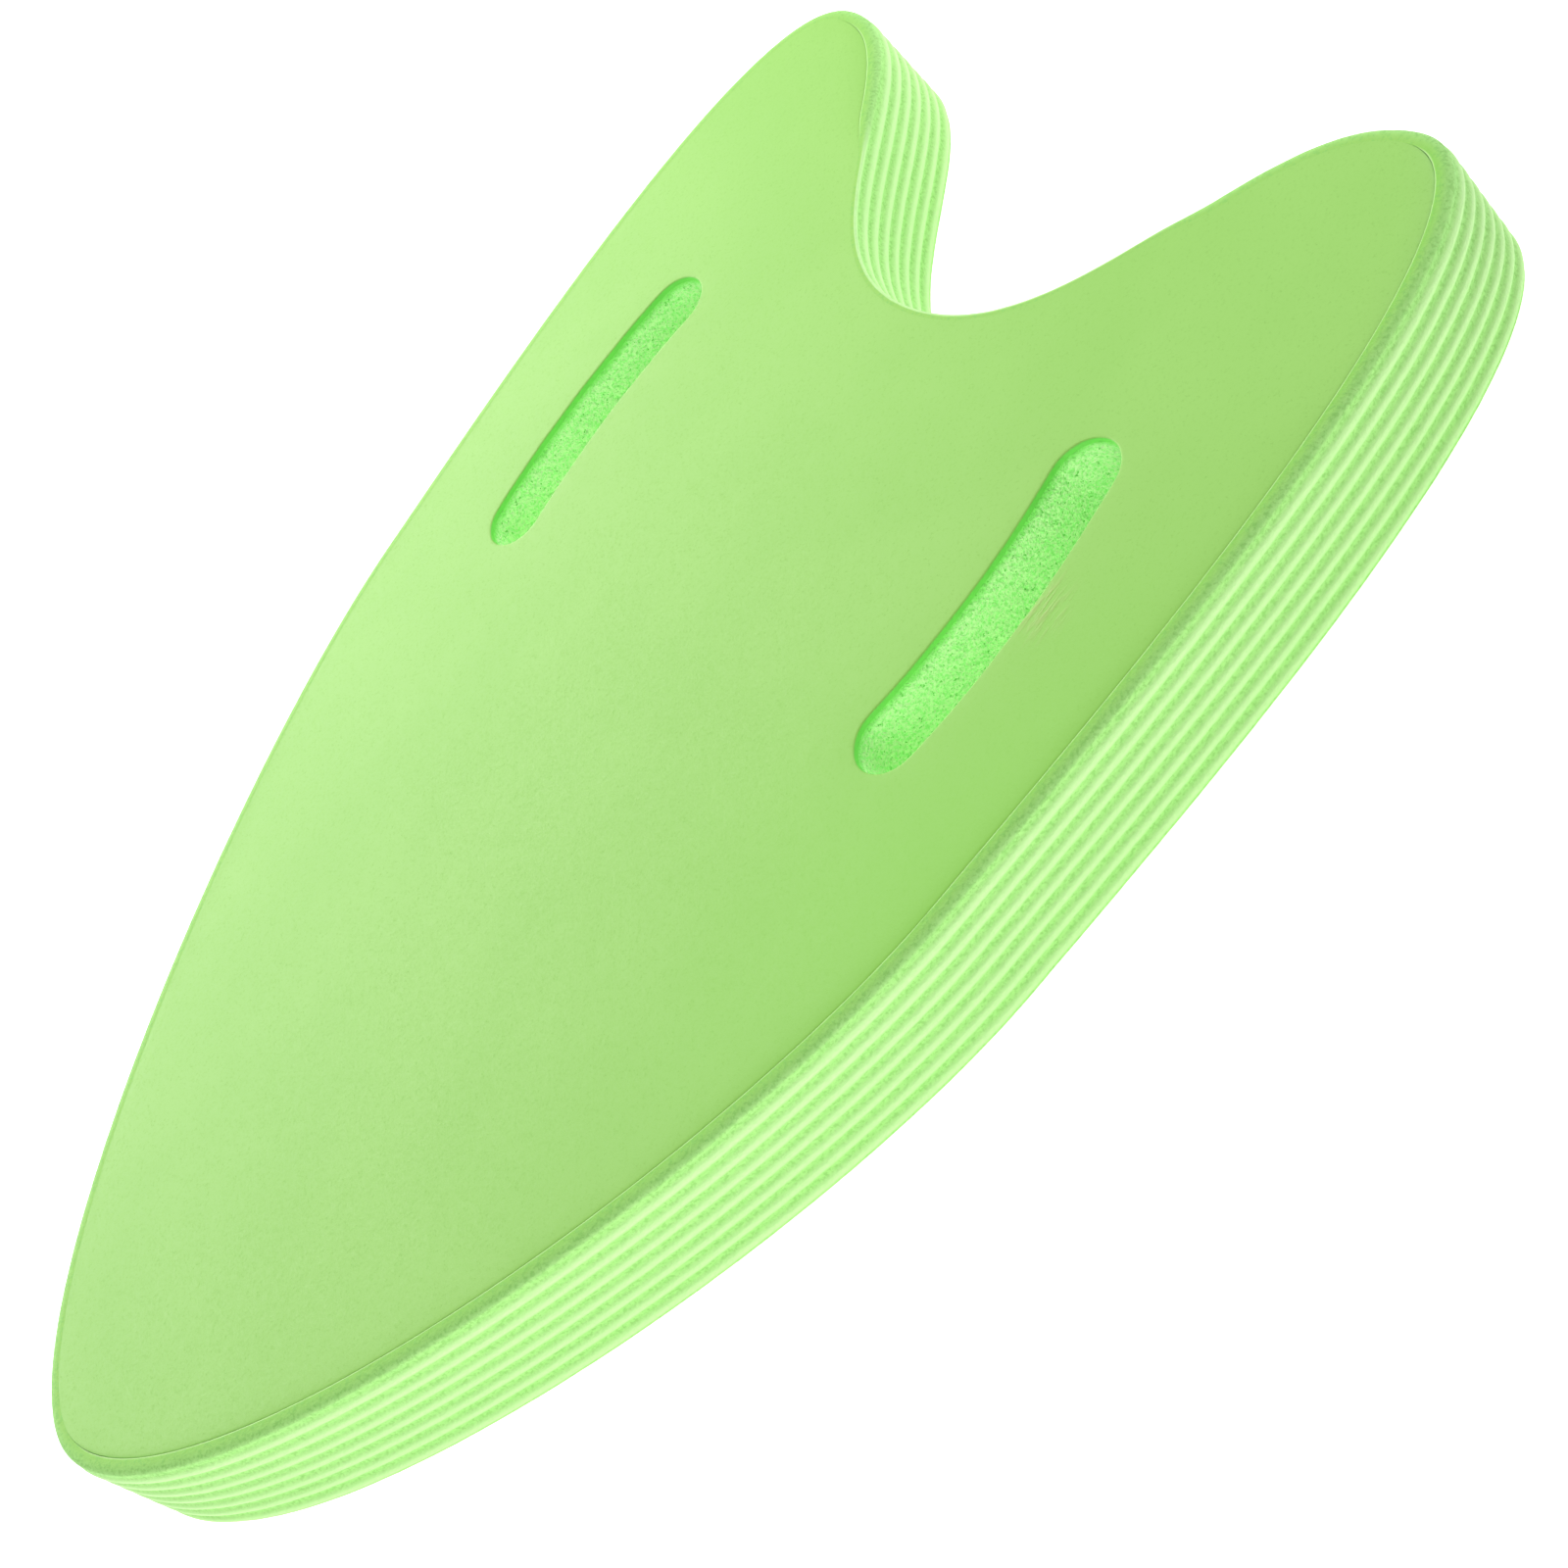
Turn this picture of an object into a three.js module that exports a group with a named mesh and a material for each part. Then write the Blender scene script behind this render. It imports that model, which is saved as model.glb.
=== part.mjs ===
// Swimming kickboard: a flat foam board with a rounded nose, two tail horns with a notch between them, a finger
// slot for each hand, and ribs all round its edge.
//
// Millimetres. +Z is up through the thickness and +Y points to the nose. The origin is on the surface that the
// board lies on, under the middle of its length and width.
import * as THREE from 'three';

// Overall size
const LENGTH = 430;
const THICKNESS = 35;

// Outline of one side, as three cubic Bezier curves that meet at the side point and the tip of the tail horn.
// Each reach is the length of a curve's handle. At the side point the edge leans outwards, towards the tail.
const NOSE_REACH = 57;
const SIDE = { x: 143.5, y: -14, leanDegrees: 5.4, noseReach: 78, hornReach: 51 };
const HORN = { x: 116, sideReach: 51, notchReach: 49 };
const NOTCH = { y: -136.5, reach: 64.5 };

// Foam layers, with room for the glue between them
const SKIN = 1.6;
const GLUE_GAP = 0.3;

// Edge band: a rounded shoulder at the upper face, then grooves that leave narrow ribs standing, down to half a
// groove at the lower face. The shoulder is wide round the outside and shrinks to a small corner in the notch.
const RIB_COUNT = 7;
const GROOVE_PITCH = THICKNESS / (RIB_COUNT + 0.5);
const GROOVE_DEPTH = 0.8;
// The flat top of a rib and the flat bottom of a groove, as a share of the pitch
const RIB_SHARE = 0.3;
const SHOULDER = { width: 4.6, height: GROOVE_PITCH };
const CORNER = { width: 1.9, height: 1 };
// How full the shoulder is: 2 would make it round, and a greater power makes it squarer
const SHOULDER_POWER = 3;
const LOWER_CORNER = 1.2;
// Where the shoulder turns into the corner, as shares of the curve from the horn's tip to the notch
const FADE_START = 0.4;
const FADE_END = 0.54;

// Finger slots: the same round-ended slot on both sides, along an arc that bows outwards
const SLOT = { x: 94, y: -77, halfLength: 36, bow: 3, radius: 10 };

// How finely the curves are cut into flats. The levels are depths below the upper face, in groove pitches.
const STATIONS = { noseToSide: 17, sideToHorn: 16, hornToNotch: 18 };
const SHOULDER_LEVELS = [0.01, 0.05, 0.14, 0.28, 0.5];
const LOWER_LEVELS = [7.15, 7.3, 7.42, 7.48];
const SLOT_STEPS = 12;

const COLOURS = { face: '#b0e285', edge: '#b4ea8b', core: '#aef38c' };

// The outline's curves on the right, from the nose to the middle of the notch
function outlineCurves() {
  const lean = THREE.MathUtils.degToRad(SIDE.leanDegrees);
  const tailward = new THREE.Vector2(Math.sin(lean), -Math.cos(lean));
  const nose = new THREE.Vector2(0, LENGTH / 2);
  const side = new THREE.Vector2(SIDE.x, SIDE.y);
  const horn = new THREE.Vector2(HORN.x, -LENGTH / 2);
  const notch = new THREE.Vector2(0, NOTCH.y);
  const handle = (from, x, y) => new THREE.Vector2(from.x + x, from.y + y);
  return {
    noseToSide: new THREE.CubicBezierCurve(
      nose, handle(nose, NOSE_REACH, 0), side.clone().addScaledVector(tailward, -SIDE.noseReach), side),
    sideToHorn: new THREE.CubicBezierCurve(
      side, side.clone().addScaledVector(tailward, SIDE.hornReach), handle(horn, HORN.sideReach, 0), horn),
    hornToNotch: new THREE.CubicBezierCurve(
      horn, handle(horn, -HORN.notchReach, 0), handle(notch, NOTCH.reach, 0), notch),
  };
}

// Points round the outline, each with its outward direction and how much of the full shoulder it has, from 0 to 1
function outlineStations() {
  const right = [];
  for (const [name, curve] of Object.entries(outlineCurves())) {
    const lastStep = name === 'hornToNotch' ? STATIONS[name] : STATIONS[name] - 1;
    for (let step = 0; step <= lastStep; step += 1) {
      const share = step / STATIONS[name];
      const along = curve.getTangent(share);
      const fade = name === 'hornToNotch' ? THREE.MathUtils.smoothstep(share, FADE_START, FADE_END) : 0;
      right.push({
        point: curve.getPoint(share),
        outward: new THREE.Vector2(-along.y, along.x),
        shoulder: 1 - fade,
      });
    }
  }
  const flip = (vector) => new THREE.Vector2(-vector.x, vector.y);
  const left = right.slice(1, -1).reverse().map((station) => ({
    point: flip(station.point),
    outward: flip(station.outward),
    shoulder: station.shoulder,
  }));
  return [...right, ...left];
}

const stations = outlineStations();

// How far the hairline seam between a face and the edge band lies inside the outline
function seamInset(station) {
  return THREE.MathUtils.lerp(CORNER.width, SHOULDER.width, station.shoulder);
}

// How far the edge lies inside the outline at a depth below the upper face: the deepest of the shoulder, the groove
// and the rounded lower corner
function edgeInset(station, depth) {
  const roundHeight = THREE.MathUtils.lerp(CORNER.height, SHOULDER.height, station.shoulder);
  const rise = Math.max(0, 1 - depth / roundHeight);
  const shoulder = seamInset(station) * (1 - (1 - rise ** SHOULDER_POWER) ** (1 / SHOULDER_POWER));
  const pitches = depth / GROOVE_PITCH;
  const fromRib = Math.abs(pitches - Math.round(pitches)) * 2;
  const groove = GROOVE_DEPTH * THREE.MathUtils.smoothstep(fromRib, RIB_SHARE, 1 - RIB_SHARE);
  const fall = Math.max(0, 1 - (THICKNESS - depth) / LOWER_CORNER);
  const corner = LOWER_CORNER * (1 - Math.sqrt(1 - fall * fall));
  return Math.max(shoulder, groove, corner);
}

// Depths at which the edge is cut into flats, from the upper face down: four to a groove, and a few where the
// shoulder and the lower corner are roundest
function edgeDepths() {
  const levels = [...SHOULDER_LEVELS];
  const groovePart = [RIB_SHARE / 2, 0.5 - RIB_SHARE / 2, 0.5 + RIB_SHARE / 2, 1 - RIB_SHARE / 2];
  for (let groove = 0; groove < RIB_COUNT; groove += 1) {
    const parts = groovePart.map((part) => groove + part);
    levels.push(...parts.filter((level) => level > SHOULDER_LEVELS.at(-1)));
  }
  levels.push(...LOWER_LEVELS);
  return [...levels.map((level) => level * GROOVE_PITCH), THICKNESS];
}

// The edge band, a closed ring: the shaped edge outside, the seam's upright wall inside
function edgeBandGeometry() {
  const depths = edgeDepths();
  const corners = depths.length + 2;
  const positions = [];
  for (const station of stations) {
    const seam = seamInset(station);
    const section = [[seam, 0], ...depths.map((depth) => [edgeInset(station, depth), depth]), [seam, THICKNESS]];
    for (const [inset, depth] of section) {
      const place = station.point.clone().addScaledVector(station.outward, -inset);
      positions.push(place.x, place.y, THICKNESS - depth);
    }
  }
  const faces = [];
  stations.forEach((_, index) => {
    const here = index * corners;
    const next = ((index + 1) % stations.length) * corners;
    for (let level = 0; level < corners; level += 1) {
      const below = (level + 1) % corners;
      faces.push(here + level, next + level, next + below, here + level, next + below, here + below);
    }
  });
  const geometry = new THREE.BufferGeometry();
  geometry.setAttribute('position', new THREE.Float32BufferAttribute(positions, 3));
  geometry.setIndex(faces);
  geometry.computeVertexNormals();
  return geometry;
}

// A finger slot's outline, on the right for side 1 and on the left for side -1
function slotPath(side) {
  const { x, y, halfLength, bow, radius } = SLOT;
  const bend = (halfLength * halfLength + bow * bow) / (2 * bow);
  const sweep = Math.asin(halfLength / bend);
  const centre = side * (x + bow - bend);
  const middle = side > 0 ? 0 : Math.PI;
  const endX = centre + side * bend * Math.cos(sweep);
  const path = new THREE.Path();
  path.absarc(centre, y, bend + radius, middle - sweep, middle + sweep, false);
  path.absarc(endX, y + side * halfLength, radius, middle + sweep, middle + sweep + Math.PI, false);
  path.absarc(centre, y, bend - radius, middle + sweep, middle - sweep, true);
  path.absarc(endX, y - side * halfLength, radius, middle - sweep + Math.PI, middle - sweep + 2 * Math.PI, false);
  return path;
}

// A foam layer inside the edge band, with both finger slots cut through it
function layerGeometry(bottom, top) {
  const edge = stations.map(
    (station) => station.point.clone().addScaledVector(station.outward, -seamInset(station) - GLUE_GAP));
  const shape = new THREE.Shape(edge);
  shape.holes = [slotPath(1), slotPath(-1)];
  const geometry = new THREE.ExtrudeGeometry(
    shape, { depth: top - bottom, bevelEnabled: false, curveSegments: SLOT_STEPS });
  geometry.translate(0, 0, bottom);
  return geometry;
}

function foam(name, geometry, color, roughness) {
  const mesh = new THREE.Mesh(geometry, new THREE.MeshStandardMaterial({ color, roughness, metalness: 0 }));
  mesh.name = name;
  return mesh;
}

const board = new THREE.Group();
board.add(
  foam('bottom_skin', layerGeometry(0, SKIN), COLOURS.face, 0.6),
  foam('foam_core', layerGeometry(SKIN + GLUE_GAP, THICKNESS - SKIN - GLUE_GAP), COLOURS.core, 0.9),
  foam('top_skin', layerGeometry(THICKNESS - SKIN, THICKNESS), COLOURS.face, 0.6),
  foam('ribbed_rail', edgeBandGeometry(), COLOURS.edge, 0.8),
);

export default board;
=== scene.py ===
"""The looks of a foam swimming kickboard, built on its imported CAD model.

Everything is in metres in the CAD model's frame: +Z is up through the thickness, +Y points to the nose, and
the board lies on z = 0. Each CAD node is replaced by a finer piece of the same foam layer.
"""
import math

import bpy
import numpy as np
from mathutils import Matrix, Vector, geometry, noise


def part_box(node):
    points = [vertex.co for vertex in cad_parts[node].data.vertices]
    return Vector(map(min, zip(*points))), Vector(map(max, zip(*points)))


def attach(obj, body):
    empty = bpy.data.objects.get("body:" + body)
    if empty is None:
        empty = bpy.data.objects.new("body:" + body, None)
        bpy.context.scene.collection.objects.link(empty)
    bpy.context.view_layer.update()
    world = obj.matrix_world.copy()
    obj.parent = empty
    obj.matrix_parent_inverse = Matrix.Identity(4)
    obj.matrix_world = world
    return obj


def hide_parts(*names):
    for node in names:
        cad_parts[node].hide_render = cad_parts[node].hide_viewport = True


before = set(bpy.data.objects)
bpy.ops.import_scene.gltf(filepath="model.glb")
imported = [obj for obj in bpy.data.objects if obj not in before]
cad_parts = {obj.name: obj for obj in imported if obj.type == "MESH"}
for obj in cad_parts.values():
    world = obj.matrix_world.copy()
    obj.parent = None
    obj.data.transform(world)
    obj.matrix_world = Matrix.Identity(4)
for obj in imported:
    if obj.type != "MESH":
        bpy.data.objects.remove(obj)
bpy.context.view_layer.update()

MM = 0.001

# ---------------------------------------------------------------- sizes

# Overall size, from the frame
RAIL_LOW, RAIL_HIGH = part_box("ribbed_rail")
LENGTH = RAIL_HIGH.y - RAIL_LOW.y
THICKNESS = RAIL_HIGH.z - RAIL_LOW.z
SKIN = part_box("bottom_skin")[1].z

# Outline of one side, as three cubic Bezier curves that meet at the side point and the tip of the tail horn.
# Each reach is the length of a curve's handle. At the side point the edge leans outwards, towards the tail.
NOSE_REACH = 57 * MM
SIDE = {"x": 143.5 * MM, "y": -14 * MM, "lean": math.radians(5.4),
        "nose_reach": 78 * MM, "horn_reach": 51 * MM}
HORN = {"x": 116 * MM, "side_reach": 51 * MM, "notch_reach": 49 * MM}
NOTCH = {"y": -136.5 * MM, "reach": 64.5 * MM}
# The outline has a point about every step, found by measuring each curve over this many samples
STATION_STEP = 1.35 * MM
CURVE_SAMPLES = 400

# Edge band: a shoulder at the upper face, which shrinks to a corner in the notch, then ribs with grooves
# between them, down to half a groove and a small corner at the lower face
RIBS = 7
PITCH = THICKNESS / (RIBS + 0.5)
GROOVE_DEPTH = 0.8 * MM
# The first groove's share of the depth, and the shoulder's share of a rib's painted highlight
FIRST_GROOVE = 0.8
SHOULDER_WEAR = 0.4
# A rib slopes down to a groove between these shares of the way from its middle to the groove's
RIB_START, RIB_END = 0.12, 0.85
SHOULDER = {"seam": 4.6 * MM, "width": 4.0 * MM, "height": PITCH}
CORNER = {"seam": 1.9 * MM, "width": 0.7 * MM, "height": 0.6 * MM}
SHOULDER_POWER = 3
LOWER_CORNER = 1.2 * MM
# How widely the edge is rounded over where the shoulder and a groove cross
BLEND = 0.25 * MM
# Where the shoulder turns into the corner, as shares of the curve from the horn's tip to the notch
FADE_START, FADE_END = 0.4, 0.54
# Where a rib's painted highlight fades as the shoulder cuts it back, in groove depths
WEAR_START, WEAR_END = 0.3, 2.0
# Where the looks of the land beside the seam fade out down the shoulder, in pitches
UPPER_START, UPPER_END = 0.08, 0.4

# How many rings of points go round the land beside the seam and each part of the edge band
LAND_LEVELS = 6
SHOULDER_LEVELS = 14
GROOVE_LEVELS = 10
LOWER_LEVELS = 8

# The seam between a face and the edge band: its gap where it is open and where it is closed, the lip that
# dips into it on both sides, the dark line of painted shade along it, and the wider fall of the face towards
# it
SEAM_GAP = 0.12 * MM
CLOSED_GAP = 0.01 * MM
LIP_DEPTH = 0.12 * MM
LIP_WIDTH = 0.3 * MM
CRACK = {"width": 0.18 * MM, "mean": 0.6, "change": 0.4, "size": 25 * MM}
CROWN_DEPTH = 0.25 * MM
CROWN_WIDTH = 2.5 * MM
# How far the edge's direction has to point to the board's left for the seam to start opening and to be open
OPEN_START, OPEN_END = -0.1, 0.5
# The seam's upright wall starts this far below the upper face
WALL_TOP = 3 * LIP_DEPTH
# The land starts at this share of the shoulder's width, and the painted shade on it, a deeper green, is
# weaker at the nose
LAND_START = 0.2
STAIN_AT_NOSE = 0.35
STAIN_POWER = 3

# Finger slots, on an arc that bows outwards, with a rounded rim that the face dips to
SLOT = {"x": 94 * MM, "y": -77 * MM, "half_length": 36 * MM, "bow": 3 * MM, "radius": 10 * MM}
SLOT_STEP = 0.5 * MM
RIM_RADIUS = 0.5 * MM
RIM_DIP = 0.1 * MM
RIM_REACH = 2.5 * MM
# How many rings at the foot of the rim, with the skin's lower edge, show the green of the cut
CUT_RINGS = 4
WALL_LEVELS = 64

# Where rings of points lie on a face, measured from the seam and from a slot's rim, and the grid between them
SEAM_RINGS = np.array((0, 0.1, 0.25, 0.5, 0.9, 1.6, 2.6, 4.0, 6.0)) * MM
RIM_RINGS = np.array((0.6, 1.4, 2.6, 4.2, 6.5)) * MM
RIM_ANGLES = np.radians(np.arange(0, 91, 15))
FACE_GRID = 4 * MM
# Points of the grid keep this share of a step away from the rings
GRID_CLEARANCE = 0.6
# Surfaces are shaded smooth, but for edges sharper than this
SHARP_ANGLE = math.radians(60)
# The gap between the core and the skins
GAP = 0.04 * MM

# Unevenness of the foam, as waves with a height, a size and a seed
FACE_WAVES = ((0.12 * MM, 45 * MM, 0), (0.03 * MM, 12 * MM, 1))
FACE_WAVES_START = 4 * MM
EDGE_WAVES = ((0.06 * MM, 5 * MM, 1), (0.02 * MM, 2 * MM, 2))
RIM_WAVES = ((0.2 * MM, 16 * MM, 17), (0.08 * MM, 3 * MM, 12))
WALL_WAVES = ((0.12 * MM, 0.9 * MM, 7),)
# Cut cells of the core: how deep, how far apart and how steep-sided they are, and the shallowest one's share.
# Each cell's own depth is drawn at its middle, with the middles spread this much further apart.
PORES = {"depth": 0.4 * MM, "size": 1.5 * MM, "seed": 3, "steepness": 1.6, "shallowest": 0.4, "spread": 3.7}
# How far one step of the seed moves the waves and the cells, so that each seed gives its own
WAVE_SHIFT = (7.3, 3.1, 5.7)
PORE_SHIFT = (2.9, 1.7, 4.3)

# ---------------------------------------------------------------- view, light and colours

CAMERA_AIM = Vector((-51.8, -20.2, 17.5)) * MM
CAMERA_AZIMUTH, CAMERA_ELEVATION, CAMERA_ROLL = 176.7, 38.0, 51.4
CAMERA_DISTANCE = 642 * MM
CAMERA_LENS, CAMERA_SENSOR = 62.16, 36

WORLD_STRENGTH = 0.08
FLOOR_REACH = 12.0
FLOOR_DROP = 0.2 * MM
FLOOR_GREYS = ((0.86, 0.86, 0.86), (0.88, 0.88, 0.88))
# The floor glows a little, so that it stays white all round the board
FLOOR_STRENGTH = 0.75

# Painted light in this table: a deeper green as shade on the board's left side, and a dark line as shade
# along the seam
FACE = {"plain": (0.31, 0.655, 0.108), "blotch": (0.325, 0.67, 0.118), "speckle": (0.265, 0.595, 0.09),
        "deep": (0.285, 0.675, 0.085), "wrinkle": (0.38, 0.6, 0.14), "crack": (0.1, 0.3, 0.03)}
# Painted light in this table: shade on the shoulder beside the seam, and highlights on the lip and the rib
# crests
EDGE = {"groove": (0.43, 0.84, 0.24), "pit": (0.35, 0.76, 0.19), "land": (0.315, 0.66, 0.112),
        "stain": (0.25, 0.67, 0.075), "grain": (0.24, 0.62, 0.11), "lip": (0.6, 0.88, 0.36),
        "rib": (0.62, 0.96, 0.41)}
# Painted light in this table: a dark colour for the shade in the pits, and a glow for light through the foam
CORE = {"cell": (0.39, 0.88, 0.27), "wall": (0.71, 0.99, 0.52), "crumb": (0.32, 0.84, 0.22),
        "pit": (0.16, 0.56, 0.1), "glow": (0.35, 1, 0.25)}
# The cut edge of a skin, whose green also stains the core beside it for a little way
SKIN_EDGE = (0.21, 0.76, 0.11)
STAIN = 2.5 * MM
# A painted glow, standing in for light that has come through the foam, as seen on the walls of the slots
GLOW = 0.09

# Round patches of a face: painted shade, a deeper green, on the board's left side, and where the rim of a
# slot has wrinkled
DEEP_PATCH = {"centre": (-140 * MM, -20 * MM, THICKNESS), "radius": 110 * MM}
WRINKLE_PATCH = {"centre": (-110 * MM, -82 * MM, THICKNESS), "radius": 13 * MM}
WRINKLE_SCALE = (900, 150, 100)
WRINKLE_TURN = (0, 0, math.radians(35))
# The pits in the grooves are flattened, and slant across the edge
PIT_SCALE = (600, 600, 1300)
PIT_TURN = (math.radians(40), 0, 0)
# The numbers of a mix node's two colour inputs and its colour output
MIX_A, MIX_B, MIX_RESULT = 6, 7, 2


# ---------------------------------------------------------------- camera, light and floor

def add_object(name, data):
    made = bpy.data.objects.new(name, data)
    bpy.context.scene.collection.objects.link(made)
    return made


def direction(azimuth, elevation):
    """The direction at an azimuth, measured from +X towards +Y, and an elevation, both in degrees."""
    azimuth, elevation = math.radians(azimuth), math.radians(elevation)
    level = math.cos(elevation)
    return Vector((math.cos(azimuth) * level, math.sin(azimuth) * level, math.sin(elevation)))


def add_camera():
    """The photograph's view: from the board's left, above, rolled so that the nose points down and left."""
    roll = math.radians(CAMERA_ROLL)
    back = direction(CAMERA_AZIMUTH, CAMERA_ELEVATION)
    level_right = Vector((0, 0, 1)).cross(back).normalized()
    level_up = back.cross(level_right)
    up = level_up * math.cos(roll) + level_right * math.sin(roll)
    right = level_right * math.cos(roll) - level_up * math.sin(roll)
    turn = Matrix((right, up, back)).transposed().to_4x4()
    camera = add_object("camera", bpy.data.cameras.new("camera"))
    camera.data.sensor_width = CAMERA_SENSOR
    camera.data.lens = CAMERA_LENS
    camera.matrix_world = Matrix.Translation(CAMERA_AIM + back * CAMERA_DISTANCE) @ turn
    bpy.context.scene.camera = camera


def add_area_light(name, azimuth, elevation, distance, width, height, power):
    """A soft light aimed at the board."""
    back = direction(azimuth, elevation)
    light = bpy.data.lights.new(name, "AREA")
    light.shape = "RECTANGLE"
    light.size, light.size_y = width, height
    light.energy = power
    lamp = add_object(name, light)
    lamp.location = back * distance
    lamp.rotation_mode = "QUATERNION"
    lamp.rotation_quaternion = back.to_track_quat("Z", "Y")


def add_lights():
    world = bpy.data.worlds.new("studio")
    world.use_nodes = True
    background = world.node_tree.nodes["Background"]
    background.inputs["Color"].default_value = (1, 1, 1, 1)
    background.inputs["Strength"].default_value = WORLD_STRENGTH
    bpy.context.scene.world = world
    add_area_light("back", azimuth=12, elevation=25, distance=1.1, width=1.3, height=0.7, power=14.5)
    add_area_light("tail", azimuth=-70, elevation=40, distance=1.2, width=0.7, height=0.7, power=9)
    add_area_light("front", azimuth=148, elevation=27, distance=1.3, width=1.0, height=0.7, power=8.5)


def add_floor():
    """The pale floor that the board lies on."""
    corners = [(x * FLOOR_REACH, y * FLOOR_REACH, 0) for x, y in ((-1, -1), (1, -1), (1, 1), (-1, 1))]
    mesh = mesh_of("floor", corners, [(0, 1, 2, 3)])
    floor = add_object("floor", mesh)
    floor.location.z = -FLOOR_DROP
    shader = Shader("floor_paper", roughness=0.9)
    shader.colour(shader.mix(shader.noise(scale=40, detail=2), *FLOOR_GREYS))
    shader.glow((1, 1, 1), FLOOR_STRENGTH)
    mesh.materials.append(shader.material)


# ---------------------------------------------------------------- outline and profile

def smoothstep(value, start, end):
    t = np.clip((value - start) / (end - start), 0, 1)
    return t * t * (3 - 2 * t)


def smooth_max(a, b, width):
    """The greater of two values, rounded over where they cross."""
    return 0.5 * (a + b + np.sqrt((a - b) ** 2 + width * width))


def outline_curves():
    """The outline's curves on the right, from the nose to the middle of the notch, as control points."""
    nose = np.array((0, LENGTH / 2))
    side = np.array((SIDE["x"], SIDE["y"]))
    tailward = np.array((math.sin(SIDE["lean"]), -math.cos(SIDE["lean"])))
    horn = np.array((HORN["x"], -LENGTH / 2))
    notch = np.array((0, NOTCH["y"]))
    across = np.array((1.0, 0.0))
    return (
        (nose, nose + NOSE_REACH * across, side - SIDE["nose_reach"] * tailward, side),
        (side, side + SIDE["horn_reach"] * tailward, horn + HORN["side_reach"] * across, horn),
        (horn, horn - HORN["notch_reach"] * across, notch + NOTCH["reach"] * across, notch),
    )


def bezier(control, t):
    """Points of a cubic Bezier curve, and the directions to its left there."""
    t = t[:, None]
    a, b, c, d = control
    points = (1 - t) ** 3 * a + 3 * (1 - t) ** 2 * t * b + 3 * (1 - t) * t * t * c + t ** 3 * d
    along = (1 - t) ** 2 * (b - a) + 2 * (1 - t) * t * (c - b) + t * t * (d - c)
    along /= np.linalg.norm(along, axis=1, keepdims=True)
    return points, np.stack((-along[:, 1], along[:, 0]), axis=1)


def even_shares(control, step):
    """Curve parameters that cut it into even lengths of about one step, without its end."""
    t = np.linspace(0, 1, CURVE_SAMPLES)
    points, _ = bezier(control, t)
    length = np.concatenate(([0], np.cumsum(np.linalg.norm(np.diff(points, axis=0), axis=1))))
    count = round(length[-1] / step)
    return np.interp(np.arange(count) / count * length[-1], length, t)


def outline_stations():
    """Points all round the outline, their outward directions, and their share of the full shoulder."""
    to_side, to_horn, to_notch = outline_curves()
    plain = [(control, even_shares(control, STATION_STEP)) for control in (to_side, to_horn)]
    into_notch = (to_notch, np.append(even_shares(to_notch, STATION_STEP), 1.0))
    places, outward = zip(*(bezier(control, t) for control, t in (*plain, into_notch)))
    shares = [np.ones(len(t)) for _, t in plain] + [1 - smoothstep(into_notch[1], FADE_START, FADE_END)]
    places, outward, shares = (np.concatenate(part) for part in (places, outward, shares))
    flip = np.array((-1, 1))
    return (np.concatenate((places, places[-2:0:-1] * flip)),
            np.concatenate((outward, outward[-2:0:-1] * flip)),
            np.concatenate((shares, shares[-2:0:-1])))


OUTLINE, OUTWARD, SHOULDER_SHARE = outline_stations()


def by_shoulder(key):
    """A size all round the outline, which goes from the corner's to the shoulder's."""
    return CORNER[key] + (SHOULDER[key] - CORNER[key]) * SHOULDER_SHARE


SEAM_INSET = by_shoulder("seam")
# The seam has opened along the edges that face the board's left, and is closed in the notch and elsewhere
# The same share also sets the painted shade and highlights along the seam
SEAM_OPEN = SHOULDER_SHARE * smoothstep(-OUTWARD[:, 0], OPEN_START, OPEN_END)


def edge_profile(depth):
    """The edge's inset from the outline at a depth below the upper face, and its painted rib highlight, 0 to
    1.
    """
    rise = np.clip(1 - depth / by_shoulder("height"), 0, 1)
    shoulder = by_shoulder("width") * (1 - (1 - rise ** SHOULDER_POWER) ** (1 / SHOULDER_POWER))
    fall = max(0, 1 - (THICKNESS - depth) / LOWER_CORNER)
    corner = LOWER_CORNER * (1 - math.sqrt(1 - fall * fall))
    pitches = depth / PITCH
    from_rib = abs(pitches - round(pitches)) * 2
    groove = smoothstep(from_rib, RIB_START, RIB_END)
    groove_depth = GROOVE_DEPTH * (FIRST_GROOVE if pitches < 1 else 1)
    inset = smooth_max(shoulder, np.maximum(corner, groove_depth * groove), BLEND)
    clear = 1 - smoothstep(shoulder / GROOVE_DEPTH, WEAR_START, WEAR_END)
    pale = 1 if pitches > 0.5 else 1 + (SHOULDER_WEAR - 1) * SHOULDER_SHARE
    return inset, (1 - groove) * clear * pale


def edge_depths():
    """Depths below the upper face at which the edge is cut, closer together where it is roundest."""
    shoulder = [PITCH * (level / SHOULDER_LEVELS) ** 2 for level in range(SHOULDER_LEVELS)]
    count = (RIBS - 1) * GROOVE_LEVELS
    ribs = [PITCH + PITCH * level / GROOVE_LEVELS for level in range(count + 1)]
    last = THICKNESS - RIBS * PITCH
    lower = [THICKNESS - last * (1 - level / LOWER_LEVELS) ** 2 for level in range(1, LOWER_LEVELS + 1)]
    return shoulder + ribs + lower


def seam_loop(inset):
    """The outline of a face, or of a line some way inside it."""
    return OUTLINE - OUTWARD * (SEAM_INSET + inset + CLOSED_GAP + SEAM_GAP * SEAM_OPEN)[:, None]


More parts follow.
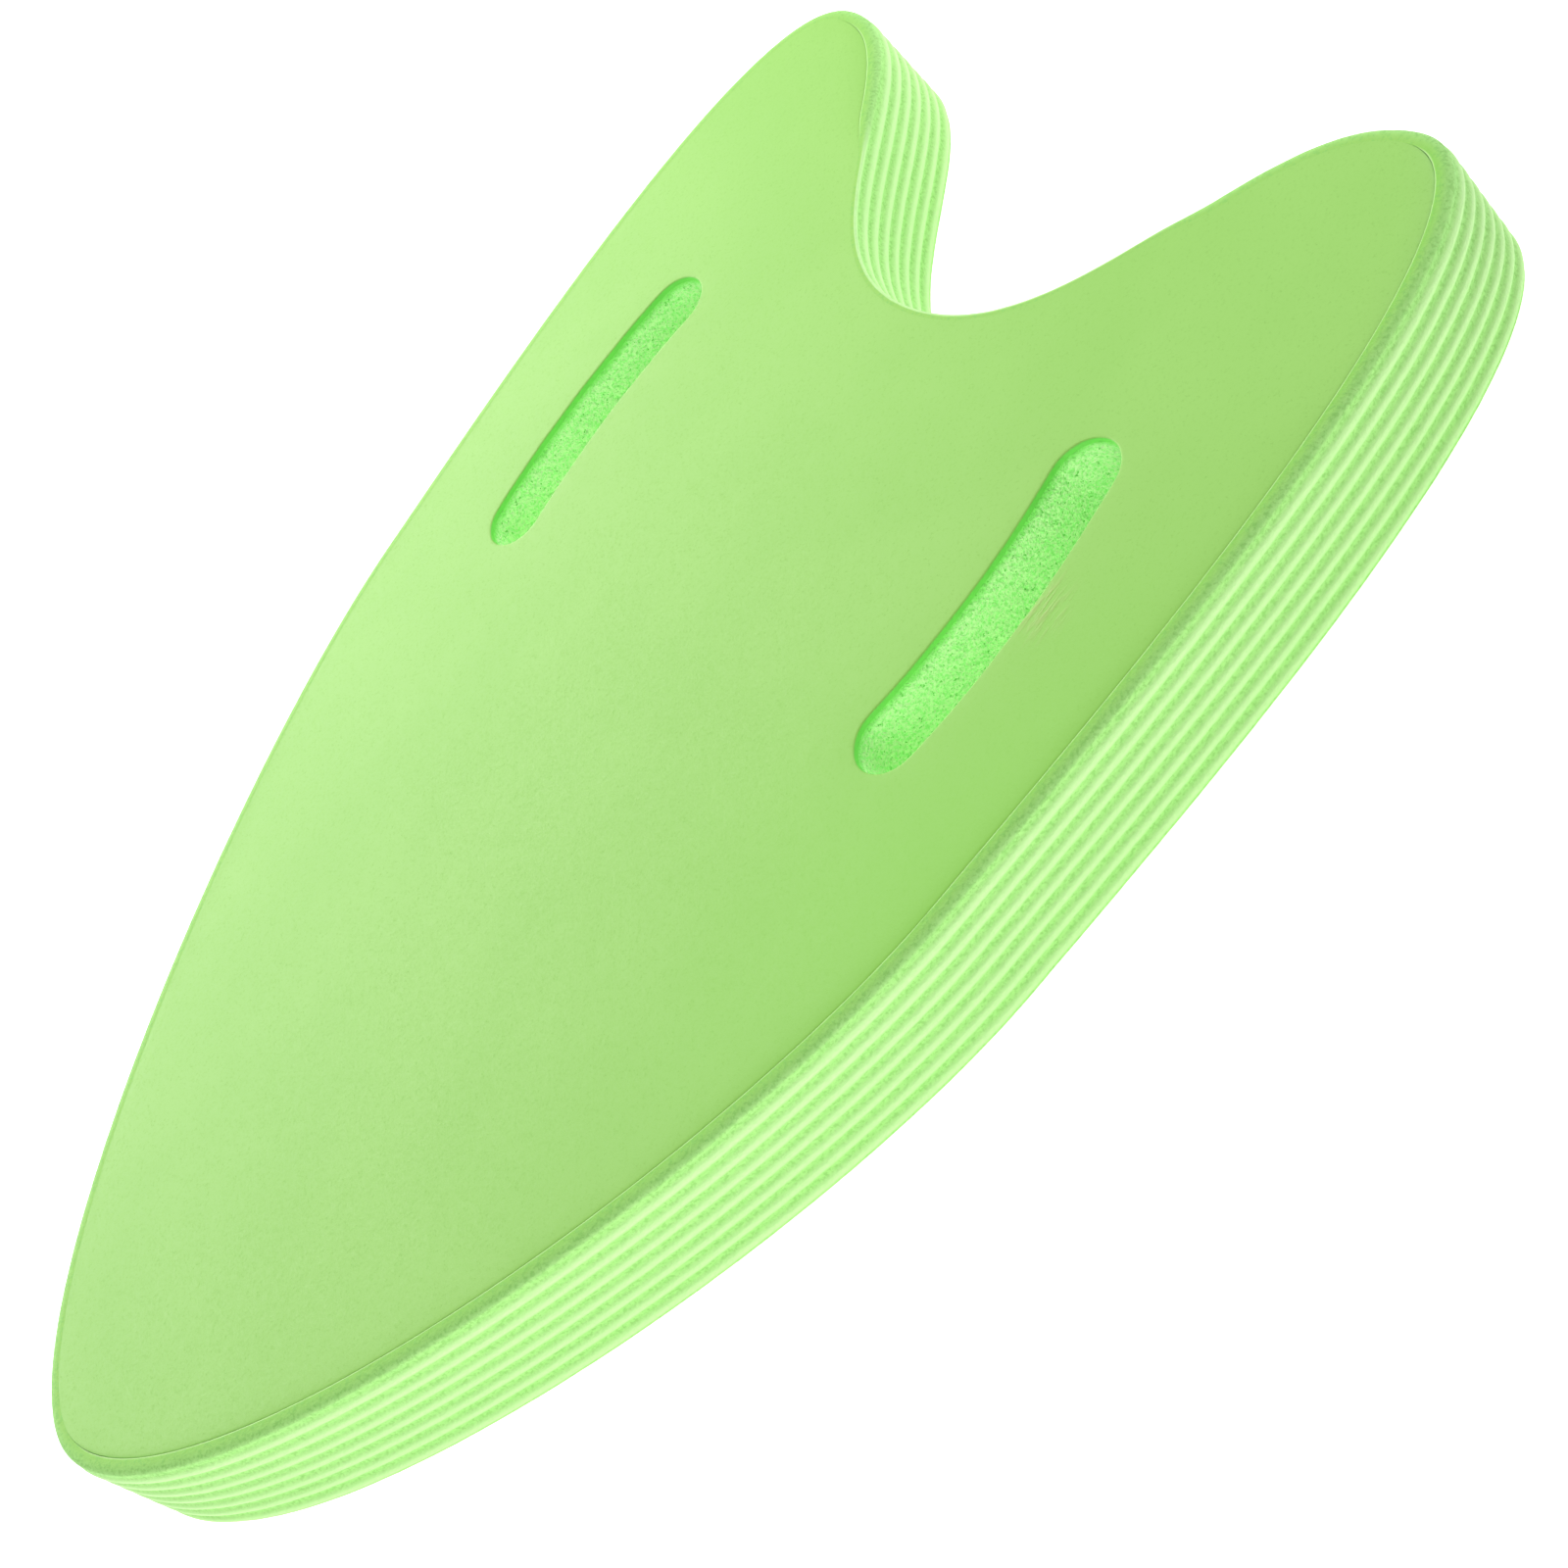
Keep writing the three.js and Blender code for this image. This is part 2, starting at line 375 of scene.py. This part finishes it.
def slot_outline(side, offset):
    """A finger slot's outline grown by an offset, counter-clockwise: right for side 1, left for side -1."""
    bend = (SLOT["half_length"] ** 2 + SLOT["bow"] ** 2) / (2 * SLOT["bow"])
    sweep = math.asin(SLOT["half_length"] / bend)
    centre = np.array((side * (SLOT["x"] + SLOT["bow"] - bend), SLOT["y"]))
    middle = 0 if side > 0 else math.pi
    end_y = side * SLOT["half_length"]
    end_x = side * bend * math.cos(sweep)
    radius = SLOT["radius"]
    along = round(2 * sweep * bend / SLOT_STEP)
    round_end = round(math.pi * radius / SLOT_STEP)
    arcs = (
        (centre, bend + radius + offset, middle - sweep, middle + sweep, along),
        (centre + (end_x, end_y), radius + offset, middle + sweep, middle + sweep + math.pi, round_end),
        (centre, bend - radius - offset, middle + sweep, middle - sweep, along),
        (centre + (end_x, -end_y), radius + offset, middle - sweep + math.pi, middle - sweep + 2 * math.pi,
         round_end),
    )
    loops = []
    for arc_centre, arc_radius, start, end, count in arcs:
        angle = np.linspace(start, end, count, endpoint=False)
        loops.append(arc_centre + arc_radius * np.column_stack((np.cos(angle), np.sin(angle))))
    return np.concatenate(loops)


def slot_outward(side):
    """Unit directions out of a slot, into the foam, all round it."""
    return slot_outline(side, 1) - slot_outline(side, 0)


def rough_slot(side, offset):
    """A slot's outline with the unevenness of a cut edge."""
    uneven = waves([(x, y, side) for x, y in slot_outline(side, 0)], RIM_WAVES)
    return slot_outline(side, offset) + slot_outward(side) * uneven[:, None]


# ---------------------------------------------------------------- noise in the shape

def shifted(seed, steps):
    return Vector([seed * step for step in steps])


def grain(points, size, seed):
    """Noise between about -1 and 1 at 3-D points, with features of one size."""
    shift = shifted(seed, WAVE_SHIFT)
    return np.array([noise.noise(Vector(point) / size + shift) for point in points])


def waves(points, heights, seed=0):
    """The sum of waves of several heights and sizes at 3-D points."""
    return sum(height * grain(points, size, seed + own) for height, size, own in heights)


def face_waves(places, seed):
    """The slight unevenness of a foam face at 2-D points."""
    return waves([(x, y, 0) for x, y in places], FACE_WAVES, seed)


def pores(points, seed):
    """How deep the cut cells of open foam are at 3-D points. Each cell has a depth of its own."""
    shift = shifted(seed, PORE_SHIFT)
    least = PORES["shallowest"]
    depth = []
    for point in points:
        distances, cells = noise.voronoi(Vector(point) / PORES["size"] + shift)
        share = least + (1 - least) * noise.cell(cells[0] * PORES["spread"])
        depth.append(max(0.0, 1 - distances[0] * PORES["steepness"]) * share)
    return PORES["depth"] * np.array(depth)


# ---------------------------------------------------------------- meshes

def mesh_of(name, points, faces, values=None):
    """A smooth-shaded mesh, with named values per point for its material."""
    mesh = bpy.data.meshes.new(name)
    mesh.from_pydata([tuple(p) for p in points], [], [tuple(f) for f in faces])
    for label, numbers in (values or {}).items():
        attribute = mesh.attributes.new(label, "FLOAT", "POINT")
        attribute.data.foreach_set("value", np.asarray(numbers, np.float32))
    mesh.polygons.foreach_set("use_smooth", np.ones(len(mesh.polygons), bool))
    mesh.set_sharp_from_angle(angle=SHARP_ANGLE)
    mesh.update()
    return mesh


def inside(spots, loop):
    """Which spots lie inside a closed loop, by counting the loop's crossings above each."""
    crossings = np.zeros(len(spots), int)
    for a, b in zip(loop, np.roll(loop, -1, axis=0)):
        spans = (a[0] > spots[:, 0]) != (b[0] > spots[:, 0])
        if spans.any():
            height = a[1] + (spots[:, 0] - a[0]) / (b[0] - a[0]) * (b[1] - a[1])
            crossings += spans & (height > spots[:, 1])
    return crossings % 2 == 1


def within(spots, loops):
    """Which spots lie inside the first loop and outside the others."""
    keep = inside(spots, loops[0])
    for hole in loops[1:]:
        keep &= ~inside(spots, hole)
    return keep


def inner_grid(loops, step):
    """Staggered grid points inside the first loop, outside the others, and clear of all of them."""
    low, high = loops[0].min(axis=0), loops[0].max(axis=0)
    row_step = step * math.sqrt(0.75)
    rows = np.arange(low[1], high[1], row_step)
    columns = np.arange(low[0], high[0], step)
    spots = np.array([(x + step / 2 * (i % 2), y) for i, y in enumerate(rows) for x in columns])
    keep = within(spots, loops)
    everything = np.concatenate(loops)
    clear = step * GRID_CLEARANCE
    for i in np.flatnonzero(keep):
        keep[i] = np.min(np.sum((everything - spots[i]) ** 2, axis=1)) > clear ** 2
    return [tuple(p) for p in spots[keep]]


def triangulate(loops, step=None):
    """Triangles inside the first loop and outside the others, over grid points too where a step is given.

    Returns the 2-D points, the loops' first, and the triangles.
    """
    points = [tuple(p) for loop in loops for p in loop]
    edges, start = [], 0
    for loop in loops:
        edges += [(start + i, start + (i + 1) % len(loop)) for i in range(len(loop))]
        start += len(loop)
    if step:
        points += inner_grid(loops, step)
    inside_edges, tolerance = 1, 1e-9
    placed, _, triangles, *_ = geometry.delaunay_2d_cdt(
        [Vector(p) for p in points], edges, [], inside_edges, tolerance)
    placed = np.array([tuple(p) for p in placed])
    keep = within(placed[np.array(triangles)].mean(axis=1), loops)
    return placed, [triangle for triangle, kept in zip(triangles, keep) if kept]


class Surface:
    """A surface made of rings of points, with named values per point for its material."""

    def __init__(self, *labels):
        self.points = []
        self.faces = []
        self.values = {label: [] for label in labels}

    def add_points(self, places, heights, **values):
        """Adds points at 2-D places, and returns their numbers. A value that isn't given is 0."""
        first = len(self.points)
        self.points.extend(np.column_stack((places, np.broadcast_to(heights, len(places)))))
        for label, numbers in self.values.items():
            numbers.extend(np.broadcast_to(values.get(label, 0.0), len(places)))
        return list(range(first, len(self.points)))

    def join(self, rings, turned=False):
        """Quads from each ring of points to the next."""
        for here, below in zip(rings, rings[1:]):
            for i in range(len(here)):
                j = (i + 1) % len(here)
                quad = (here[i], here[j], below[j], below[i])
                self.faces.append(quad[::-1] if turned else quad)

    def cover(self, rings, turned=False, step=None, height_at=None):
        """Triangles inside the first ring and outside the others, over a grid of new points if asked."""
        numbers = [i for ring in rings for i in ring]
        loops = [np.array([self.points[i][:2] for i in ring]) for ring in rings]
        placed, triangles = triangulate(loops, step)
        extra = placed[len(numbers):]
        if len(extra):
            numbers += self.add_points(extra, height_at(extra))
        for triangle in triangles:
            self.faces.append([numbers[i] for i in (triangle[::-1] if turned else triangle)])

    def mesh(self, name):
        return mesh_of(name, self.points, self.faces, self.values)


# ---------------------------------------------------------------- foam layers

def build_edge_band():
    """The ribbed edge, one closed ring of foam: the land beside the seam, the edge, and the seam's wall."""
    band = Surface("rib", "lip", "land", "stain")
    width = by_shoulder("width")
    # Painted shade on the land beside the seam, where it is open: full on the board's left side, less at the
    # nose
    stained = SEAM_OPEN * (STAIN_AT_NOSE + (1 - STAIN_AT_NOSE) * smoothstep(-OUTLINE[:, 0], 0, SIDE["x"]))
    seam = OUTLINE - OUTWARD * SEAM_INSET[:, None]
    rings = []

    def add_ring(inset, depth, rib=0.0, upper=0.0):
        """Adds a ring of points. Upper says how much it has of the looks beside the seam."""
        # The lip dips the edge into the seam, and the same share paints a highlight on it where the seam is
        # open
        lip = np.exp((inset - SEAM_INSET) / LIP_WIDTH) * SEAM_OPEN * upper
        places = OUTLINE - OUTWARD * inset[:, None]
        heights = THICKNESS - depth - LIP_DEPTH * lip
        from_seam = np.linalg.norm(places - seam, axis=1)
        rough = waves(np.column_stack((places, heights)), EDGE_WAVES) * np.minimum(from_seam / LIP_WIDTH, 1)
        rings.append(band.add_points(
            places + OUTWARD * rough[:, None], heights, rib=rib, lip=lip,
            land=smoothstep(inset / width, LAND_START, 1) * upper,
            stain=(inset / SEAM_INSET) ** STAIN_POWER * stained * upper))

    for share in np.linspace(1, 0, LAND_LEVELS, endpoint=False):
        add_ring(width + (SEAM_INSET - width) * share, 0.0, upper=1.0)
    for depth in edge_depths():
        inset, rib = edge_profile(depth)
        add_ring(inset, depth, rib, upper=1 - smoothstep(depth / PITCH, UPPER_START, UPPER_END))
    for depth in (THICKNESS, THICKNESS / 2, WALL_TOP):
        add_ring(SEAM_INSET, depth)
    band.join([*rings, rings[0]], turned=True)
    return band.mesh("edge_band")


def add_seam_rings(skin, seed):
    """A skin's rings beside the seam: its lower edge first, then the face as it rises from the seam."""
    # Painted shade: a dark line on the face along the seam, where the seam is open
    gape = SEAM_OPEN * (CRACK["mean"] + CRACK["change"] * grain(
        [(x, y, 0) for x, y in OUTLINE], CRACK["size"], seed + 2))
    drops = LIP_DEPTH * np.exp(-SEAM_RINGS / LIP_WIDTH) + CROWN_DEPTH * np.exp(-SEAM_RINGS / CROWN_WIDTH)
    rings = [skin.add_points(seam_loop(0), THICKNESS - SKIN, crack=gape)]
    for inset, drop in zip(SEAM_RINGS, drops):
        place = seam_loop(inset)
        raised = face_waves(place, seed) * smoothstep(inset, 0, FACE_WAVES_START)
        rings.append(skin.add_points(place, THICKNESS - drop * SEAM_OPEN + raised,
                                     crack=gape * math.exp(-inset / CRACK["width"])))
    skin.join(rings)
    return rings


def add_rim_rings(skin, side, seed):
    """A skin's rings round a slot: its lower edge first, then the rounded rim and the dip in the face."""
    rim = [(RIM_RADIUS * (1 - math.cos(a)), RIM_RADIUS * (1 - math.sin(a))) for a in RIM_ANGLES]
    rim += [(RIM_RADIUS + d, 0) for d in RIM_RINGS]
    rings = [skin.add_points(rough_slot(side, 0), THICKNESS - SKIN, cut=1.0)]
    for ring, (offset, drop) in enumerate(rim, start=1):
        place = rough_slot(side, offset)
        height = THICKNESS - (drop + RIM_DIP * math.exp(-offset / RIM_REACH)) + face_waves(place, seed)
        rings.append(skin.add_points(place, height, cut=1.0 if ring < CUT_RINGS else 0.0))
    skin.join(rings, turned=True)
    return rings


def build_skin(name, seed):
    """The upper skin: its face, which rolls down to the seam and the slots, and its hidden flat underside."""
    skin = Surface("cut", "crack")
    groups = [add_seam_rings(skin, seed), *(add_rim_rings(skin, side, seed) for side in (1, -1))]
    skin.cover([rings[-1] for rings in groups], step=FACE_GRID,
               height_at=lambda places: THICKNESS + face_waves(places, seed))
    skin.cover([rings[0] for rings in groups], turned=True)
    return skin.mesh(name)


def turned_over(mesh):
    """A mesh turned over about the middle of the thickness."""
    mesh.transform(Matrix.Translation((0, 0, THICKNESS)) @ Matrix.Diagonal((1, 1, -1, 1)))
    mesh.flip_normals()
    return mesh


def add_slot_wall(core, side, low, high):
    """The raw wall of a slot, with its cut cells."""
    place = rough_slot(side, 0)
    rings = []
    for height in np.linspace(low, high, WALL_LEVELS):
        points = np.column_stack((place, np.full(len(place), height)))
        depth = pores(points, side + PORES["seed"]) + waves(points, WALL_WAVES, side)
        rings.append(core.add_points(place + slot_outward(side) * depth[:, None], height))
    core.join(rings)
    return rings


def build_core():
    """The slab inside, with the raw open-celled walls of both finger slots."""
    core = Surface()
    low, high = SKIN + GAP, THICKNESS - SKIN - GAP
    outer = [core.add_points(seam_loop(0), height) for height in (low, high)]
    core.join(outer, turned=True)
    groups = [outer, *(add_slot_wall(core, side, low, high) for side in (1, -1))]
    core.cover([rings[0] for rings in groups], turned=True)
    core.cover([rings[-1] for rings in groups])
    return core.mesh("foam_slab")


# ---------------------------------------------------------------- materials

class Shader:
    """A material with one Principled shader, and short calls for the nodes in front of it."""

    def __init__(self, name, roughness):
        self.material = bpy.data.materials.new(name)
        self.material.use_nodes = True
        self.tree = self.material.node_tree
        self.surface = self.tree.nodes["Principled BSDF"]
        self.surface.inputs["Roughness"].default_value = roughness
        self.place = self.tree.nodes.new("ShaderNodeTexCoord").outputs["Object"]

    def add(self, kind, inputs, **settings):
        made = self.tree.nodes.new(kind)
        for key, value in settings.items():
            setattr(made, key, value)
        for key, value in inputs.items():
            if isinstance(value, bpy.types.NodeSocket):
                self.tree.links.new(value, made.inputs[key])
            else:
                made.inputs[key].default_value = value
        return made

    def stretched(self, scale, rotation):
        """Places scaled differently along each axis, and turned."""
        inputs = {"Vector": self.place, "Scale": scale, "Rotation": rotation}
        return self.add("ShaderNodeMapping", inputs).outputs["Vector"]

    def noise(self, scale, detail=2, roughness=0.5, at=None):
        inputs = {"Vector": at or self.place, "Scale": scale, "Detail": detail, "Roughness": roughness}
        return self.add("ShaderNodeTexNoise", inputs).outputs["Fac"]

    def cells(self, scale):
        """The distance from the middle of a cell, for cells packed at random."""
        inputs = {"Vector": self.place, "Scale": scale}
        return self.add("ShaderNodeTexVoronoi", inputs, feature="F1").outputs["Distance"]

    def value(self, label):
        return self.add("ShaderNodeAttribute", {}, attribute_name=label).outputs["Fac"]

    def ramp(self, value, low, high, to=(0, 1)):
        """Maps low..high to a range, clamped and eased."""
        inputs = {"Value": value, "From Min": low, "From Max": high, "To Min": to[0], "To Max": to[1]}
        return self.add("ShaderNodeMapRange", inputs, interpolation_type="SMOOTHSTEP").outputs["Result"]

    def near(self, patch, to):
        """A value that is greatest at a patch's centre and fades out at its radius."""
        away = self.add("ShaderNodeVectorMath", {0: self.place, 1: patch["centre"]}, operation="DISTANCE")
        return self.ramp(away.outputs["Value"], patch["radius"], 0, to)

    def math(self, operation, a, b=0.0):
        return self.add("ShaderNodeMath", {0: a, 1: b}, operation=operation).outputs[0]

    def mix(self, share, a, b):
        """Two colours mixed. They are sockets or plain colours."""
        made = self.add("ShaderNodeMix", {"Factor": share}, data_type="RGBA")
        for socket, value in ((made.inputs[MIX_A], a), (made.inputs[MIX_B], b)):
            if isinstance(value, bpy.types.NodeSocket):
                self.tree.links.new(value, socket)
            else:
                socket.default_value = (*value, 1)
        return made.outputs[MIX_RESULT]

    def colour(self, value):
        self.tree.links.new(value, self.surface.inputs["Base Color"])

    def rough(self, value):
        self.tree.links.new(value, self.surface.inputs["Roughness"])

    def glow(self, colour, strength):
        self.surface.inputs["Emission Color"].default_value = (*colour, 1)
        self.surface.inputs["Emission Strength"].default_value = strength

    def bump(self, height, distance, strength=1.0):
        """Adds a bump on top of any earlier one. The distance is what a height of 1 stands for."""
        inputs = {"Height": height, "Distance": distance, "Strength": strength}
        earlier = self.surface.inputs["Normal"].links
        if earlier:
            inputs["Normal"] = earlier[0].from_socket
        made = self.add("ShaderNodeBump", inputs)
        self.tree.links.new(made.outputs["Normal"], self.surface.inputs["Normal"])


def face_foam():
    """Smooth matte skin: fine speckle, faint blotches, and a deeper green where it turns into the slots."""
    shader = Shader("smooth_green_foam", roughness=0.55)
    blotch = shader.noise(scale=22, detail=3)
    speckle = shader.noise(scale=1300, detail=3, roughness=0.7)
    wrinkles = shader.noise(scale=1, detail=3, at=shader.stretched(WRINKLE_SCALE, WRINKLE_TURN))
    creased = shader.math("MULTIPLY", shader.near(WRINKLE_PATCH, (0, 1)), shader.ramp(wrinkles, 0.45, 0.7))
    base = shader.mix(shader.ramp(blotch, 0.35, 0.65), FACE["plain"], FACE["blotch"])
    base = shader.mix(shader.ramp(speckle, 0.55, 0.75), base, FACE["speckle"])
    # Painted shade: a deeper, more saturated green over the board's left side
    base = shader.mix(shader.near(DEEP_PATCH, (0, 0.8)), base, FACE["deep"])
    base = shader.mix(creased, base, FACE["wrinkle"])
    base = shader.mix(shader.value("cut"), base, SKIN_EDGE)
    # Painted shade: a dark line along the seam
    base = shader.mix(shader.value("crack"), base, FACE["crack"])
    shader.colour(base)
    shader.rough(shader.ramp(speckle, 0.3, 0.7, (0.5, 0.62)))
    shader.bump(speckle, 0.05 * MM, 0.6)
    shader.bump(shader.noise(scale=260, detail=2), 0.05 * MM)
    shader.bump(creased, 0.1 * MM)
    return shader.material


def edge_foam():
    """Grainy moulded foam: ribs with a painted highlight on their crests, deeper green grooves with slanting
    pits, a darker shoulder deepened by painted shade, and a painted highlight on the lip at the seam.
    """
    shader = Shader("ribbed_green_foam", roughness=0.7)
    grains = shader.noise(scale=1100, detail=2, roughness=0.6)
    slanted = shader.noise(scale=1, detail=3, roughness=0.65, at=shader.stretched(PIT_SCALE, PIT_TURN))
    # Painted highlight on the rib crests, broken up by the grain
    worn = shader.math("MULTIPLY", shader.value("rib"), shader.ramp(grains, 0.2, 0.75, (0.7, 1.0)))
    base = shader.mix(shader.ramp(slanted, 0.35, 0.7), EDGE["groove"], EDGE["pit"])
    base = shader.mix(shader.value("land"), base, EDGE["land"])
    # Painted shade: a deeper green on the shoulder beside the seam
    base = shader.mix(shader.value("stain"), base, EDGE["stain"])
    base = shader.mix(shader.ramp(grains, 0.5, 0.62, (0, 0.6)), base, EDGE["grain"])
    # Painted highlight on the lip at the seam
    base = shader.mix(shader.ramp(shader.value("lip"), 0.2, 0.7, (0, 0.75)), base, EDGE["lip"])
    base = shader.mix(worn, base, EDGE["rib"])
    shader.colour(base)
    shader.bump(slanted, 0.18 * MM)
    shader.bump(grains, 0.1 * MM)
    return shader.material


def core_foam():
    """Raw cut foam: open cells, crumbs and a few deep pits painted dark with shade, stained by the skins
    where it meets them, and given a painted glow.
    """
    shader = Shader("open_green_foam", roughness=0.85)
    cells = shader.cells(scale=1300)
    pits = shader.noise(scale=900, detail=2, roughness=0.6)
    crumbs = shader.noise(scale=1100, detail=3, roughness=0.75)
    base = shader.mix(shader.ramp(cells, 0.0, 0.4), CORE["cell"], CORE["wall"])
    base = shader.mix(shader.ramp(crumbs, 0.46, 0.6, (0, 0.8)), base, CORE["crumb"])
    # Painted shade: the deepest pits are coloured dark
    base = shader.mix(shader.ramp(pits, 0.63, 0.7), base, CORE["pit"])
    height = shader.add("ShaderNodeSeparateXYZ", {0: shader.place}).outputs["Z"]
    off_middle = shader.math("ABSOLUTE", shader.math("SUBTRACT", height, THICKNESS / 2))
    uneven = shader.math("MULTIPLY", shader.noise(scale=160, detail=2), STAIN)
    reach = shader.math("ADD", off_middle, shader.math("SUBTRACT", uneven, STAIN / 2))
    top = THICKNESS / 2 - SKIN
    base = shader.mix(shader.ramp(reach, top - STAIN, top, (0, 0.85)), base, SKIN_EDGE)
    shader.colour(base)
    # Painted glow: the core gives off a little green light of its own
    shader.glow(CORE["glow"], GLOW)
    shader.bump(cells, 0.3 * MM)
    shader.bump(crumbs, -0.35 * MM)
    shader.bump(pits, -0.4 * MM)
    return shader.material


# ---------------------------------------------------------------- the board

def place_piece(mesh, material, node):
    """Puts a piece on the board's one body, in place of a CAD node."""
    mesh.materials.append(material)
    piece = add_object(mesh.name, mesh)
    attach(piece, "root")
    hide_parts(node)


def build_board():
    face, edge, core = face_foam(), edge_foam(), core_foam()
    place_piece(build_skin("upper_face", seed=21), face, "top_skin")
    place_piece(turned_over(build_skin("lower_face", seed=31)), face, "bottom_skin")
    place_piece(build_core(), core, "foam_core")
    place_piece(build_edge_band(), edge, "ribbed_rail")


bpy.context.scene.view_settings.view_transform = "Standard"
add_camera()
add_lights()
add_floor()
build_board()
